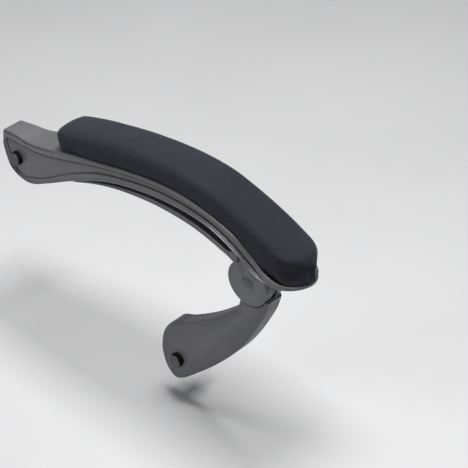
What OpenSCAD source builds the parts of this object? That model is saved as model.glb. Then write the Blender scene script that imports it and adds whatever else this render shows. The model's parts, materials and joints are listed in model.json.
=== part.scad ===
// Linkage armrest of a reclining chair: a padded upper arm, a knuckle and a curved lower link.
// +X is forward, +Y is towards the seat, +Z is up. The backrest bolt's axis is Y through the origin,
// and the chair's two bracket faces lie in the plane y = 0.

/* [Pad] */
// Half the pad's greatest width
pad_half_width = 27.5; // [25:0.5:28]
// Thickness of the upholstery cloth
cloth_t = 1.5; // [1:0.1:2]
// Thickness of the board under the foam
board_t = 4; // [3:0.5:5]

/* [Upper arm] */
// Wall of the moulded shell
shell_wall = 3; // [2.5:0.1:3.5]
// Depth of the recessed panel on each side
panel_depth = 1.2; // [0.6:0.1:1.6]
// Thickness of each steel side plate
side_plate_t = 3; // [2.5:0.5:3]
// Half the gap between the two steel side plates
side_plate_y = 4.5; // [4.4:0.1:5]

/* [Knuckle] */
// Radius of the knuckle's round cover
knuckle_r = 27.7; // [26.8:0.1:28]
// Half the knuckle's width
knuckle_half_w = 14.5; // [14:0.5:15]
// Gap between the knuckle's cover and the link's round socket
socket_gap = 0.9; // [0.6:0.1:1.4]
// Radius of the knuckle bolt's shoulder
knuckle_bolt_r = 5; // [4:0.5:5]

/* [Lower link] */
// Half the link's width
link_half_w = 13.5; // [13:0.5:14]
// Wall of the link's two shells
link_wall = 2.5; // [2:0.1:3]
// Thickness of the link's steel plate
link_plate_t = 6; // [5:0.5:6]

/* [Chair bolts] */
// Radius of the bolt's shoulder, inside its sleeve and spacer
bolt_r = 5; // [4.9:0.05:5.1]
// Radius of the bolt's threaded free end
thread_r = 3.95; // [3.7:0.05:3.95]
// Length of bolt that stands out past the bracket face
bolt_reach = 18; // [12:1:24]
// Distance from the bracket faces to the arm's middle plane
arm_offset = 35; // [32:1:40]
// Radius of the plastic cap on the bolt's head
cap_r = 8.2; // [8:0.1:8.6]
// Radius of the spacer on the bracket side
spacer_r = 11; // [10:0.5:12]
// Running clearance of every turning fit, on the radius
running_gap = 0.05; // [0.02:0.01:0.08]

/* [Hidden] */
$fn = 64;
eps = 0.02;
far = 80;

// The three pivots, as [x, z]
backrest_pivot = [0, 0];
knuckle_pivot = [357, -4];
seat_pivot = [252, -164];

// Side outlines, as [x, z], drawn as smooth curves through these points
top_line = [[-22, 30], [2, 32.5], [28, 34], [86, 48], [150, 61.5], [205, 72.5], [260, 77.5], [305, 73],
            [345, 61.5], [372, 45], [393, 32], [414, 28], [436, 29]];
rim_line = [[-22, 30], [-23.5, 14], [-19, -2], [-11, -17], [8, -24], [30, -21], [61, -5], [105, 19],
            [160, 41], [215, 53], [264, 57], [310, 53.5], [351, 39], [378, 24.5], [400, 21], [436, 26]];
panel_top_line = [[-18, 19], [27, 24.5], [60, 31], [121, 49], [164, 60], [215, 69.5], [262, 72.5],
                  [310, 67], [350, 53], [376, 36], [391, 25]];
panel_low_line = [[-16, 10], [-8, -12], [9, -20.5], [30, -13.5], [52, -3], [98, 24.5], [148, 47],
                  [215, 62.5], [264, 66], [310, 61.5], [346, 48.5], [372, 33.5], [391, 24.5]];
strip_top_line = [[105, 19], [139, 31.5], [179, 43], [225, 50.5], [262, 51.5], [298, 48], [344, 37]];
strip_low_line = [[100, 15], [139, 30], [179, 40.5], [225, 46.5], [262, 47], [298, 43.5], [344, 29.5]];
pad_top_line = [[76.5, 74], [98, 80.5], [149, 91.5], [195, 99], [255, 103.5], [298, 101], [327, 95],
                [355, 86.5], [383, 75.5], [404, 65], [422, 53.5], [434, 42]];
link_line = [[341, -47], [322, -64], [302, -81], [279, -97.5], [256, -111.5], [240, -119], [229, -135],
             [225, -155], [227, -172], [234, -187], [246, -195], [258, -190], [270, -180], [296, -156],
             [319, -132], [340, -107], [356, -83], [369, -59], [379, -38], [384.5, -20]];

// Half widths in plan, as [x, half width]
arm_width_line = [[-24, 13.5], [0, 15], [35, 19], [65, 21.5], [86, 22.7], [130, 24.2], [226, 26],
                  [300, 26.9], [380, 27.2], [404, 26.9], [416, 25], [425, 20.5], [431.5, 13.5], [435, 6],
                  [436, 0]];
pad_share_line = [[74, 0.58], [76, 0.75], [82, 0.82], [130, 0.895], [226, 0.96], [300, 0.99], [370, 1],
                  [404, 0.98], [416, 0.91], [425, 0.745], [431.5, 0.49], [435, 0.22], [436, 0]];
pad_width_line = [for (q = pad_share_line) [q[0], q[1] * pad_half_width]];

// How far each layer of the bolted ends lies from the arm's middle plane
washer_y = -11.5;
washer_t = 1.5;
sleeve_r = 6;
bush_r = 8;
cap_face_y = -20.5;
bolt_head_r = 6.5;
plate_out_y = side_plate_y + side_plate_t;
shoulder_gap = 0.2;
knuckle_bush_r = 7;
knuckle_cap_r = 9;
knuckle_cap_y = 12;
knuckle_head_r = 8;
knuckle_nut_t = 4.6;
tongue_r = knuckle_r - 1.2;
plate_eye_r = 24;
backrest_eye_r = 14.7;
backrest_bush_end_y = 14.8;
backrest_spacer_y = 15.2;
seat_bush_end_y = 13.3;
seat_spacer_y = 13.8;
bolt_head_t = 7;
socket_r = 3.4;
socket_depth = 4;
thread_start = 0.4;
bolt_tip = 0.8;

// Play left round the parts that sit in the mouldings
cap_gap = 1.3;
hole_gap = 0.2;
spacer_gap = 0.6;
part_gap = 0.1;

// Where the shell's hollow begins and ends, and how far its roof lies below the moulded top
hollow_back_x = -17.5;
hollow_front_x = 428;
roof_extra = 0.5;

// Stations of the screws along the arm, and their radii
cover_screw_x = [60, 150, 240, 318];
pad_screw_x = [120, 190, 270, 330];
pad_screw_y = 13;
screw_r = 1.6;
screw_head_r = 3.4;
screw_head_t = 2.2;
rivet_r = 2.5;
rivet_head_r = 4.2;
rivet_head_t = 1.5;
spacer_post_r = 5.5;
spacer_ring_r = 12;
tee_nut_r = 7;
tee_barrel_r = 2.6;
screw_seat_y = link_half_w - 2.6;
link_screw_xz = [[252, -132], [278, -148], [318, -98], [350, -58]];
knuckle_screw_xz = [[352, 27], [366, 24]];
spacer_xz = [[105, 34], [200, 57], [285, 60]];

// Behind this station the lower cover lies inside the shell's skirts, and ahead of it below them
cover_step_x = 148;
cover_lip = 3.8;
cover_rise = 0.8;
post_gap = 2;

// Catmull-Rom curve through the points
function spline_at(a, b, c, d, t) =
    0.5 * ((2 * b) + (c - a) * t + (2 * a - 5 * b + 4 * c - d) * t * t + (3 * b - a - 3 * c + d) * t * t * t);
function smooth(p, steps = 4) =
    [for (i = [0 : len(p) - 2], k = [0 : steps - 1])
        spline_at(p[max(i - 1, 0)], p[i], p[i + 1], p[min(i + 2, len(p) - 1)], k / steps),
     p[len(p) - 1]];
function reversed(p) = [for (i = [len(p) - 1 : -1 : 0]) p[i]];
function raised(p, dz) = [for (q = p) [q[0], q[1] + dz]];
function between(p, x0, x1) = [for (q = p) if (q[0] >= x0 && q[0] <= x1) q];
function height_at(p, x) = lookup(x, smooth(p));
function cover_top(x) = x < cover_step_x ? height_at(rim_line, x) + cover_lip : height_at(strip_top_line, x);
function cover_low(x) = x < cover_step_x ? height_at(rim_line, x) + cover_rise : height_at(strip_low_line, x);
function slope_at(p, x) = atan((height_at(p, x + 3) - height_at(p, x - 3)) / 6);

// The plan's half widths, drawn in by inset, with the round nose drawn back by as much
nose_start = 400;
nose_end = 436;
function drawn_in(p, inset) =
    [for (q = smooth(p)) [q[0] - inset * max(0, (q[0] - nose_start) / (nose_end - nose_start)),
                          max(0, q[1] - inset)]];

// Places a side outline between two distances from the middle plane
module slab(y0, y1)
    translate([0, y1 - arm_offset, 0]) rotate([90, 0, 0]) linear_extrude(y1 - y0) children();

// A round piece along Y through a pivot, between two distances from the middle plane
module round_at(pivot, r, y0, y1)
    translate([pivot[0], y0 - arm_offset, pivot[1]]) rotate([-90, 0, 0]) cylinder(r = r, h = y1 - y0);

module hex_at(pivot, r, y0, y1)
    translate([pivot[0], y0 - arm_offset, pivot[1]])
        rotate([-90, 0, 0]) cylinder(r = r, h = y1 - y0, $fn = 6);

module ring_at(pivot, r_out, r_in, y0, y1)
    difference() {
        round_at(pivot, r_out, y0, y1);
        round_at(pivot, r_in, y0 - 1, y1 + 1);
    }

// Everything inside a plan outline
module plan(widths, inset = 0, x_from = -200) {
    half = between(drawn_in(widths, inset), x_from, 600);
    outline = concat(half, [for (q = reversed(half)) if (q[1] > 0) [q[0], -q[1]]]);
    translate([0, -arm_offset, -far]) linear_extrude(3 * far) polygon(outline);
}

// ---------------------------------------------------------------- upper arm

module arm_side() polygon(concat(smooth(top_line), reversed(smooth(rim_line))));

module panel_side() polygon(concat(smooth(panel_top_line), reversed(smooth(panel_low_line))));

module arm_cavity() {
    roof = between(raised(smooth(top_line), -shell_wall - roof_extra), -10, hollow_front_x);
    slab(-far / 2, far / 2)
        polygon(concat([[hollow_back_x, -far], [hollow_back_x, 26]], roof, [[hollow_front_x, -far]]));
}

// Seats for the lower cover's screws hang between the two steel plates
module cover_screw_post(x)
    translate([x, -arm_offset, cover_top(x) + post_gap])
        cylinder(r = side_plate_y - 0.7, h = height_at(top_line, x) - cover_top(x) - 2 * post_gap);

module at_pad_screws()
    for (x = pad_screw_x, side = [-1, 1])
        translate([x, side * pad_screw_y - arm_offset, height_at(top_line, x)])
            rotate([0, -slope_at(top_line, x), 0]) children();

module arm_upper_shell() color([0.16, 0.16, 0.17]) difference() {
    union() {
        difference() {
            intersection() {
                slab(-far / 2, far / 2) arm_side();
                plan(arm_width_line);
            }
            intersection() {
                arm_cavity();
                plan(arm_width_line, shell_wall, hollow_back_x - shell_wall);
            }
            difference() {
                slab(-far / 2, far / 2) panel_side();
                plan(arm_width_line, panel_depth);
            }
        }
        for (x = cover_screw_x) cover_screw_post(x);
    }
    for (x = cover_screw_x)
        translate([x, -arm_offset, cover_top(x) - 5])
            cylinder(r = screw_r, h = height_at(top_line, x) - cover_top(x));
    at_pad_screws() translate([0, 0, -10]) cylinder(r = screw_r + 0.4, h = 20);
    round_at(backrest_pivot, cap_r + cap_gap, -far, 0);
    round_at(backrest_pivot, bush_r + hole_gap, 0, far);
    round_at(backrest_pivot, spacer_r + spacer_gap, backrest_bush_end_y - hole_gap, far);
}

module cover_screw_holes() for (x = cover_screw_x) translate([x, -arm_offset, 0]) {
    translate([0, 0, cover_low(x) - far]) cylinder(r = screw_head_r + hole_gap, h = far + 0.9);
    translate([0, 0, cover_low(x)]) cylinder(r = screw_r + 0.3, h = 2 * screw_head_r);
}

module arm_lower_cover() color([0.15, 0.15, 0.16]) difference() {
    union() {
        intersection() {
            slab(-far / 2, far / 2)
                polygon(concat(smooth(strip_top_line), reversed(smooth(strip_low_line))));
            plan(arm_width_line, 0.4);
        }
        intersection() {
            slab(-far / 2, far / 2) polygon(concat(
                between(raised(smooth(rim_line), cover_lip), 14, cover_step_x), [[cover_step_x, 33]],
                reversed(between(raised(smooth(rim_line), cover_rise), 14, 130))));
            plan(arm_width_line, shell_wall + 0.3);
        }
    }
    cover_screw_holes();
}

module arm_plate_side() {
    upper = between(raised(smooth(top_line), -6.5), 8, 366);
    middle = between(raised(smooth(rim_line), cover_lip + 0.4), 105, 160);
    front = between(raised(smooth(strip_top_line), 0.5), 172, 344);
    polygon(concat([[-3, 9]], upper, [[374, 30], [377, 6], [355, -10], [347, 10], [346.5, 36.5]],
                   reversed(front), reversed(middle), [[60, 6], [22, -8], [-2, -9]]));
}

module arm_plate(y0) {
    y1 = y0 + side_plate_t;
    difference() {
        union() {
            slab(y0, y1) arm_plate_side();
            round_at(knuckle_pivot, plate_eye_r, y0, y1);
            round_at(backrest_pivot, backrest_eye_r, y0, y1);
        }
        round_at(backrest_pivot, bush_r, y0 - 1, y1 + 1);
        round_at(knuckle_pivot, knuckle_bolt_r, y0 - 1, y1 + 1);
        for (p = spacer_xz) round_at(p, rivet_r, y0 - 1, y1 + 1);
        for (p = knuckle_screw_xz) round_at(p, screw_r, y0 - 1, y1 + 1);
    }
}

module arm_plate_outer() color([0.30, 0.31, 0.33]) arm_plate(-plate_out_y);

module arm_plate_inner() color([0.30, 0.31, 0.33]) arm_plate(side_plate_y);

// Riveted spacers hold the two plates apart, and a wide one lies round the backrest bush
module plate_spacers() color([0.55, 0.56, 0.58]) {
    for (p = spacer_xz) {
        round_at(p, spacer_post_r, -side_plate_y, side_plate_y);
        round_at(p, rivet_r, -plate_out_y - rivet_head_t, plate_out_y + rivet_head_t);
        round_at(p, rivet_head_r, -plate_out_y - rivet_head_t, -plate_out_y);
        round_at(p, rivet_head_r, plate_out_y, plate_out_y + rivet_head_t);
    }
    ring_at(backrest_pivot, spacer_ring_r, bush_r, -side_plate_y, side_plate_y);
}

module lower_cover_screws() color([0.25, 0.25, 0.26])
    for (x = cover_screw_x) translate([x, -arm_offset, cover_low(x) - 1.2]) {
        cylinder(r = screw_head_r, h = 2);
        cylinder(r = screw_r - 0.1, h = 18);
    }

module backrest_bush() color([0.80, 0.80, 0.76])
    ring_at(backrest_pivot, bush_r, sleeve_r + running_gap, washer_y + washer_t + shoulder_gap,
            backrest_bush_end_y);

// ---------------------------------------------------------------- pad

// The pad's outline from the side: low lifts its underside, and drop lowers its roof and rear end
module pad_side(low, drop = 0) {
    seat = between(raised(smooth(top_line), low), 84 + drop, 436);
    roof = [for (q = smooth(pad_top_line)) [q[0] + (q[0] < 90 ? drop : 0), q[1] - drop]];
    polygon(concat(roof, [[436, 34]], reversed(seat)));
}

module pad_solid(inset, low, drop) intersection() {
    slab(-far / 2, far / 2) pad_side(low, drop);
    plan(pad_width_line, inset);
}

module pad_board() color([0.72, 0.58, 0.40]) difference() {
    intersection() {
        slab(-far / 2, far / 2) polygon(concat(
            between(raised(smooth(top_line), board_t + 0.2), 88, 428),
            reversed(between(raised(smooth(top_line), 0.2), 88, 428))));
        plan(pad_width_line, cloth_t + hole_gap);
    }
    at_pad_screws() translate([0, 0, -2]) cylinder(r = tee_barrel_r + hole_gap, h = 10);
}

module pad_foam() color([0.86, 0.82, 0.62]) difference() {
    pad_solid(cloth_t + part_gap, board_t + 0.4, cloth_t + part_gap);
    at_pad_screws() translate([0, 0, -2]) cylinder(r = tee_nut_r + 1, h = board_t + 5.5);
}

module pad_cover() color([0.10, 0.10, 0.12]) difference() {
    pad_solid(0, 0.2, 0);
    pad_solid(cloth_t, -5, cloth_t);
}

module pad_screws() color([0.30, 0.30, 0.31]) at_pad_screws() {
    translate([0, 0, -shell_wall - 2.9]) cylinder(r = screw_head_r, h = screw_head_t);
    translate([0, 0, -shell_wall - 1.2]) cylinder(r = screw_r, h = 11);
}

// Tee nuts pressed into the board from above
module pad_tee_nuts() color([0.62, 0.62, 0.60]) at_pad_screws() difference() {
    union() {
        translate([0, 0, board_t + 0.7]) cylinder(r = tee_nut_r, h = 1);
        translate([0, 0, 0.8]) cylinder(r = tee_barrel_r, h = board_t + 0.5);
    }
    translate([0, 0, -1]) cylinder(r = screw_r + part_gap, h = 12);
}

// ---------------------------------------------------------------- knuckle

// The cover's neck rises out of the round part into the shell
module knuckle_neck(y0, y1)
    slab(y0, y1) polygon([[knuckle_pivot[0] - 8, knuckle_pivot[1] + 8], [345, 33], [349, 37], [372, 34],
                          [377, 28], [knuckle_pivot[0] + 14, knuckle_pivot[1] + 8]]);

// One side's cover: s is -1 for the outer one and 1 for the inner one
module knuckle_cover(s) {
    deep = knuckle_half_w - plate_out_y;
    lip = plate_out_y - side_plate_y + 0.2;
    face_y = s < 0 ? -knuckle_half_w : plate_out_y;
    lip_y = s < 0 ? -plate_out_y - eps : side_plate_y - 0.2;
    difference() {
        union() {
            round_at(knuckle_pivot, knuckle_r, face_y, face_y + deep);
            knuckle_neck(face_y, face_y + deep);
            difference() {
                round_at(knuckle_pivot, knuckle_r, lip_y, lip_y + lip + eps);
                round_at(knuckle_pivot, plate_eye_r + 0.3, -far, far);
                slab(-far, far) polygon([[300, knuckle_pivot[1] + 4], [300, 60], [420, 60],
                                         [420, knuckle_pivot[1] + 4]]);
            }
        }
        for (p = knuckle_screw_xz) round_at(p, screw_r, -far, far);
    }
}

module knuckle_cover_outer() color([0.24, 0.24, 0.25]) difference() {
    knuckle_cover(-1);
    round_at(knuckle_pivot, knuckle_cap_r, -far, part_gap - knuckle_cap_y);
    round_at(knuckle_pivot, knuckle_head_r + hole_gap, -knuckle_cap_y, -plate_out_y + 1);
}

module knuckle_cover_inner() color([0.24, 0.24, 0.25]) difference() {
    knuckle_cover(1);
    round_at(knuckle_pivot, knuckle_head_r + hole_gap, plate_out_y - 1, knuckle_cap_y + 0.6);
}

module knuckle_cover_screws() color([0.30, 0.30, 0.31]) for (p = knuckle_screw_xz) {
    round_at(p, screw_r - 0.05, -knuckle_half_w, knuckle_half_w);
    round_at(p, screw_head_r, -knuckle_half_w - screw_head_t + 0.4, -knuckle_half_w);
}

module knuckle_bolt() color([0.45, 0.46, 0.48]) {
    round_at(knuckle_pivot, knuckle_bolt_r, -plate_out_y, plate_out_y + knuckle_nut_t + part_gap);
    difference() {
        round_at(knuckle_pivot, knuckle_head_r, hole_gap - knuckle_cap_y, -plate_out_y);
        hex_at(knuckle_pivot, 3, -knuckle_cap_y, -9.4);
    }
}

module knuckle_nut() color([0.55, 0.56, 0.58]) difference() {
    hex_at(knuckle_pivot, knuckle_head_r, plate_out_y, plate_out_y + knuckle_nut_t);
    round_at(knuckle_pivot, knuckle_bolt_r, 0, far);
}

// Low domed plug in the middle of the outer cover
module knuckle_cap() color([0.27, 0.27, 0.28])
    translate([knuckle_pivot[0], -arm_offset, knuckle_pivot[1]]) rotate([90, 0, 0]) difference() {
        rotate_extrude() polygon([[0, knuckle_cap_y], [knuckle_cap_r - part_gap, knuckle_cap_y],
                                  [knuckle_cap_r - part_gap, knuckle_half_w + part_gap],
                                  [7.5, 15.6], [5, 16.3], [2.5, 16.6], [0, 16.7]]);
        translate([0, 0, 16]) cylinder(r = 0.9, h = 2);
    }

module knuckle_washers() color([0.85, 0.85, 0.82]) {
    gap_in = link_plate_t / 2 + running_gap;
    for (y0 = [-side_plate_y, gap_in])
        ring_at(knuckle_pivot, 14, knuckle_bolt_r + part_gap, y0, y0 + side_plate_y - gap_in);
}

// ---------------------------------------------------------------- lower link

module link_side() difference() {
    polygon(concat(smooth(link_line, 3), [[knuckle_pivot[0] + 8, knuckle_pivot[1]]]));
    translate(knuckle_pivot) circle(r = knuckle_r + socket_gap);
}

module link_cavity_side() difference() {
    offset(delta = -link_wall) link_side();
    translate(seat_pivot) circle(r = bush_r + 3);
    for (p = link_screw_xz) translate(p) circle(r = 4);
}

module link_shell(s) {
    y_face = link_half_w;
    difference() {
        slab(s < 0 ? -y_face : running_gap, s < 0 ? -running_gap : y_face) link_side();
        slab(s < 0 ? -y_face + link_wall : -1, s < 0 ? 1 : y_face - link_wall) link_cavity_side();
        slab(-link_plate_t / 2 - eps, link_plate_t / 2 + eps) link_plate_side(hole_gap);
        round_at(seat_pivot, bush_r, -far, far);
        for (p = link_screw_xz) round_at(p, screw_r, -10, far);
    }
}

module link_plate_side(grow = 0) {
    translate(knuckle_pivot) circle(r = tongue_r + grow);
    difference() {
        offset(delta = grow - link_wall - 3) polygon(concat(smooth(link_line, 3), [knuckle_pivot]));
        translate(knuckle_pivot) circle(r = 8);
    }
}

module link_outer_shell() color([0.21, 0.21, 0.22]) difference() {
    link_shell(-1);
    round_at(seat_pivot, cap_r + cap_gap, -far, washer_y + washer_t);
}

module link_inner_shell() color([0.21, 0.21, 0.22]) difference() {
    link_shell(1);
    for (p = link_screw_xz) round_at(p, screw_head_r + hole_gap, screw_seat_y, far);
}

module link_plate() color([0.30, 0.31, 0.33]) difference() {
    slab(-link_plate_t / 2, link_plate_t / 2) link_plate_side();
    round_at(seat_pivot, bush_r, -far, far);
    round_at(knuckle_pivot, knuckle_bush_r, -far, far);
    for (p = link_screw_xz) round_at(p, screw_r + 0.5, -far, far);
}

module link_screws() color([0.30, 0.30, 0.31]) for (p = link_screw_xz) {
    round_at(p, screw_r, -9.8, screw_seat_y);
    round_at(p, screw_head_r, screw_seat_y, screw_seat_y + screw_head_t);
}

module knuckle_bush() color([0.80, 0.80, 0.76])
    ring_at(knuckle_pivot, knuckle_bush_r, knuckle_bolt_r + running_gap, -link_plate_t / 2, link_plate_t / 2);

module seat_bush() color([0.80, 0.80, 0.76])
    ring_at(seat_pivot, bush_r, sleeve_r + running_gap, washer_y + washer_t + shoulder_gap,
            seat_bush_end_y);

// ---------------------------------------------------------------- bolted ends

// A shoulder bolt: its thread starts just inside the spacer's end, and its tip is chamfered
module chair_bolt(pivot) {
    tip_y = arm_offset + bolt_reach - bolt_tip;
    round_at(pivot, bolt_r, washer_y, arm_offset - thread_start);
    round_at(pivot, thread_r, arm_offset - thread_start, tip_y);
    translate([pivot[0], tip_y - arm_offset, pivot[1]])
        rotate([-90, 0, 0]) cylinder(r1 = thread_r, r2 = thread_r - bolt_tip, h = bolt_tip);
    difference() {
        round_at(pivot, bolt_head_r, washer_y - bolt_head_t, washer_y);
        hex_at(pivot, socket_r, washer_y - bolt_head_t - part_gap, washer_y - bolt_head_t + socket_depth);
    }
}

module chair_cap(pivot) difference() {
    round_at(pivot, cap_r, cap_face_y, washer_y);
    round_at(pivot, bolt_head_r, washer_y - bolt_head_t - 0.4, washer_y + 1);
}

module chair_washer(pivot) ring_at(pivot, cap_r + 0.9, bolt_r, washer_y, washer_y + washer_t);

module chair_sleeve(pivot, end_y) ring_at(pivot, sleeve_r, bolt_r, washer_y + washer_t, end_y);

module chair_spacer(pivot, end_y) ring_at(pivot, spacer_r, bolt_r, end_y, arm_offset);

module backrest_bolt() color([0.45, 0.46, 0.48]) chair_bolt(backrest_pivot);
module backrest_bolt_cap() color([0.12, 0.12, 0.13]) chair_cap(backrest_pivot);
module backrest_washer() color([0.60, 0.60, 0.62]) chair_washer(backrest_pivot);
module backrest_sleeve() color([0.60, 0.60, 0.62]) chair_sleeve(backrest_pivot, backrest_spacer_y);
module backrest_spacer() color([0.14, 0.14, 0.15]) chair_spacer(backrest_pivot, backrest_spacer_y);
module seat_bolt() color([0.45, 0.46, 0.48]) chair_bolt(seat_pivot);
module seat_bolt_cap() color([0.12, 0.12, 0.13]) chair_cap(seat_pivot);
module seat_washer() color([0.60, 0.60, 0.62]) chair_washer(seat_pivot);
module seat_sleeve() color([0.60, 0.60, 0.62]) chair_sleeve(seat_pivot, seat_spacer_y);
module seat_spacer() color([0.14, 0.14, 0.15]) chair_spacer(seat_pivot, seat_spacer_y);

arm_upper_shell();
arm_lower_cover();
arm_plate_outer();
arm_plate_inner();
plate_spacers();
lower_cover_screws();
pad_board();
pad_foam();
pad_cover();
pad_screws();
pad_tee_nuts();
backrest_bush();
knuckle_cover_outer();
knuckle_cover_inner();
knuckle_cover_screws();
knuckle_bolt();
knuckle_nut();
knuckle_cap();
knuckle_washers();
link_outer_shell();
link_inner_shell();
link_plate();
link_screws();
knuckle_bush();
seat_bush();
backrest_bolt();
backrest_bolt_cap();
backrest_washer();
backrest_sleeve();
backrest_spacer();
seat_bolt();
seat_bolt_cap();
seat_washer();
seat_sleeve();
seat_spacer();
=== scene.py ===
"""Padded linkage armrest: detailed pieces, materials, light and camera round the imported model."""

import json
import math

import bpy
import bmesh
import numpy as np
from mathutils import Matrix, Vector


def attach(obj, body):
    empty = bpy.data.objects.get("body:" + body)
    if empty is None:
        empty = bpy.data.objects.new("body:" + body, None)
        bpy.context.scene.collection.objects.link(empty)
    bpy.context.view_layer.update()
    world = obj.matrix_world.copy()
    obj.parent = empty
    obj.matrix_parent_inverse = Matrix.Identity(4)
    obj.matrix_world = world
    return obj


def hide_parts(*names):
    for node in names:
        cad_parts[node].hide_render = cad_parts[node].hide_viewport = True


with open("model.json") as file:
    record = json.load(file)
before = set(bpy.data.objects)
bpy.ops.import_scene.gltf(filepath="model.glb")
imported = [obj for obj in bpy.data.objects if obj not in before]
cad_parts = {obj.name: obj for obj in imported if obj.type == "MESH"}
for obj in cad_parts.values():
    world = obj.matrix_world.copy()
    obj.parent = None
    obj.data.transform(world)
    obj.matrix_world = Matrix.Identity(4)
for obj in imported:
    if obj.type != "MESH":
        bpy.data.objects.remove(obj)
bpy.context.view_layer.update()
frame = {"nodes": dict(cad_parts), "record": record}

# -------- measures, in millimetres
MM = 0.001
MID_Y = -35.0
BACKREST = (0.0, 0.0)
KNUCKLE = (357.0, -4.0)
SEAT = (252.0, -164.0)

TOP = [(-22, 30), (2, 32.5), (28, 34), (86, 48), (150, 61.5), (205, 72.5), (260, 77.5), (305, 73),
       (345, 61.5), (372, 45), (393, 32), (414, 28), (436, 29)]
RIM = [(-22, 30), (-23.5, 14), (-19, -2), (-11, -17), (8, -24), (30, -21), (61, -5), (105, 19),
       (160, 43.2), (215, 55.8), (264, 60), (310, 56.5), (351, 41), (378, 25), (400, 21), (436, 26)]
PANEL_TOP = [(-18, 19), (27, 24.5), (60, 31), (121, 49), (164, 60), (215, 69.5), (262, 72.5),
             (310, 67), (350, 53), (376, 36), (391, 25)]
PANEL_LOW = [(-16, 10), (-8, -12), (9, -20.5), (30, -13.5), (52, -3), (98, 24.5), (148, 47),
             (215, 62.5), (264, 66), (310, 61.5), (346, 48.5), (372, 33.5), (391, 24.5)]
REAR_END = [(-19.5, 30.2), (-21.5, 29.3), (-22.7, 27), (-23.4, 20), (-23.5, 14), (-22, 6),
            (-19.6, -1), (-17.5, -6)]
PANEL_REAR = [(-17.3, 19.1), (-17.9, 18), (-17.6, 15), (-16, 10), (-13.8, 3), (-11.5, -3)]
STRIP_TOP = [(105, 19.6), (139, 33.3), (179, 45), (225, 52.6), (262, 53.7), (298, 50),
             (320, 44.6), (337, 39.2), (343, 39.0), (348, 41.8), (354, 40.5)]
STRIP_LOW = [(100, 15.4), (139, 30.8), (179, 41.3), (225, 47.4), (262, 47.9), (298, 44.3),
             (336, 33.6), (348, 28.8), (354, 28.2)]
PAD_TOP = [(76.5, 74), (98, 80.5), (149, 91.5), (195, 99), (255, 103.5), (298, 101), (327, 95),
           (355, 86.5), (383, 76), (404, 67), (416, 63), (425, 61), (430.5, 58), (433.8, 52), (435.4, 44)]
LINK = [(341, -47), (322, -64), (302, -81), (279, -97.5), (256, -111.5), (240, -119), (229, -135),
        (225, -155), (227, -172), (234, -187), (246, -195), (258, -190), (270, -180), (296, -156),
        (319, -132), (340, -107), (356, -83), (369, -59), (379, -38), (384.5, -20)]
ARM_WIDTH = [(-24, 13.5), (0, 15), (35, 19), (65, 21.5), (86, 22.7), (130, 24.2), (226, 26),
             (300, 26.9), (380, 27.2), (404, 26.9), (416, 25), (425, 20.5), (431.5, 13.5), (435, 6),
             (436, 0)]
PAD_SHARE = [(74, .58), (76, .75), (82, .82), (130, .895), (226, .96), (300, .99), (370, 1),
             (404, .98), (416, .91), (425, .745), (431.5, .49), (435, .22), (436, 0)]
PAD_HALF_WIDTH = 27.5

WALL = 3.0
PANEL_DEPTH = 1.2
LINK_SCREWS = [(252, -132), (278, -148), (318, -98), (350, -58)]
COVER_SCREWS = [60, 150, 240, 318]


# -------- curves

def smooth(points, steps=10):
    """Catmull-Rom curve through the points, as the part's own outlines are drawn."""
    p = [np.array(q, float) for q in points]
    out = []
    for i in range(len(p) - 1):
        a, b, c, d = p[max(i - 1, 0)], p[i], p[i + 1], p[min(i + 2, len(p) - 1)]
        for k in range(steps):
            t = k / steps
            out.append(0.5 * (2 * b + (c - a) * t + (2 * a - 5 * b + 4 * c - d) * t * t
                              + (3 * b - a - 3 * c + d) * t ** 3))
    out.append(p[-1])
    return np.array(out)


def lengths(curve):
    return np.concatenate([[0], np.cumsum(np.linalg.norm(np.diff(curve, axis=0), axis=1))])


def spread(curve, shares):
    """Points at these shares of the curve's length."""
    run = lengths(curve)
    at = np.asarray(shares) * run[-1]
    return np.stack([np.interp(at, run, curve[:, k]) for k in range(curve.shape[1])], axis=1)


def cut(curve, x0, x1):
    """The part of a curve that runs forward between two stations, ends included."""
    inside = curve[(curve[:, 0] > x0) & (curve[:, 0] < x1)]
    z = np.interp([x0, x1], curve[:, 0], curve[:, 1])
    return np.vstack([[x0, z[0]], inside, [x1, z[1]]])


def height(curve):
    return lambda x: np.interp(x, curve[:, 0], curve[:, 1])


top_c, rim_c = smooth(TOP), smooth(RIM)
ptop_c, plow_c = smooth(PANEL_TOP), smooth(PANEL_LOW)
strip_top_c, strip_low_c, pad_top_c = smooth(STRIP_TOP), smooth(STRIP_LOW), smooth(PAD_TOP)
width_c = smooth(ARM_WIDTH)
pad_width_c = smooth([(x, w * PAD_HALF_WIDTH) for x, w in PAD_SHARE])
top_z, strip_top_z, strip_low_z, pad_z = (height(c) for c in (top_c, strip_top_c, strip_low_c, pad_top_c))
rim_ahead = rim_c[20:]
rim_z = height(rim_ahead)


def half_width(x):
    return np.interp(x, width_c[:, 0], width_c[:, 1])


def pad_half(x):
    return np.interp(x, pad_width_c[:, 0], pad_width_c[:, 1])


def nose_gap(x):
    """1 where the pad stands clear of the shell's lip below the nose, else 0."""
    return np.interp(x, [380, 392, 413, 421], [0, 1, 1, 0])


# -------- mesh building

POINT_WELD = 0.002 * MM
WELD = 0.004 * MM


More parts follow.
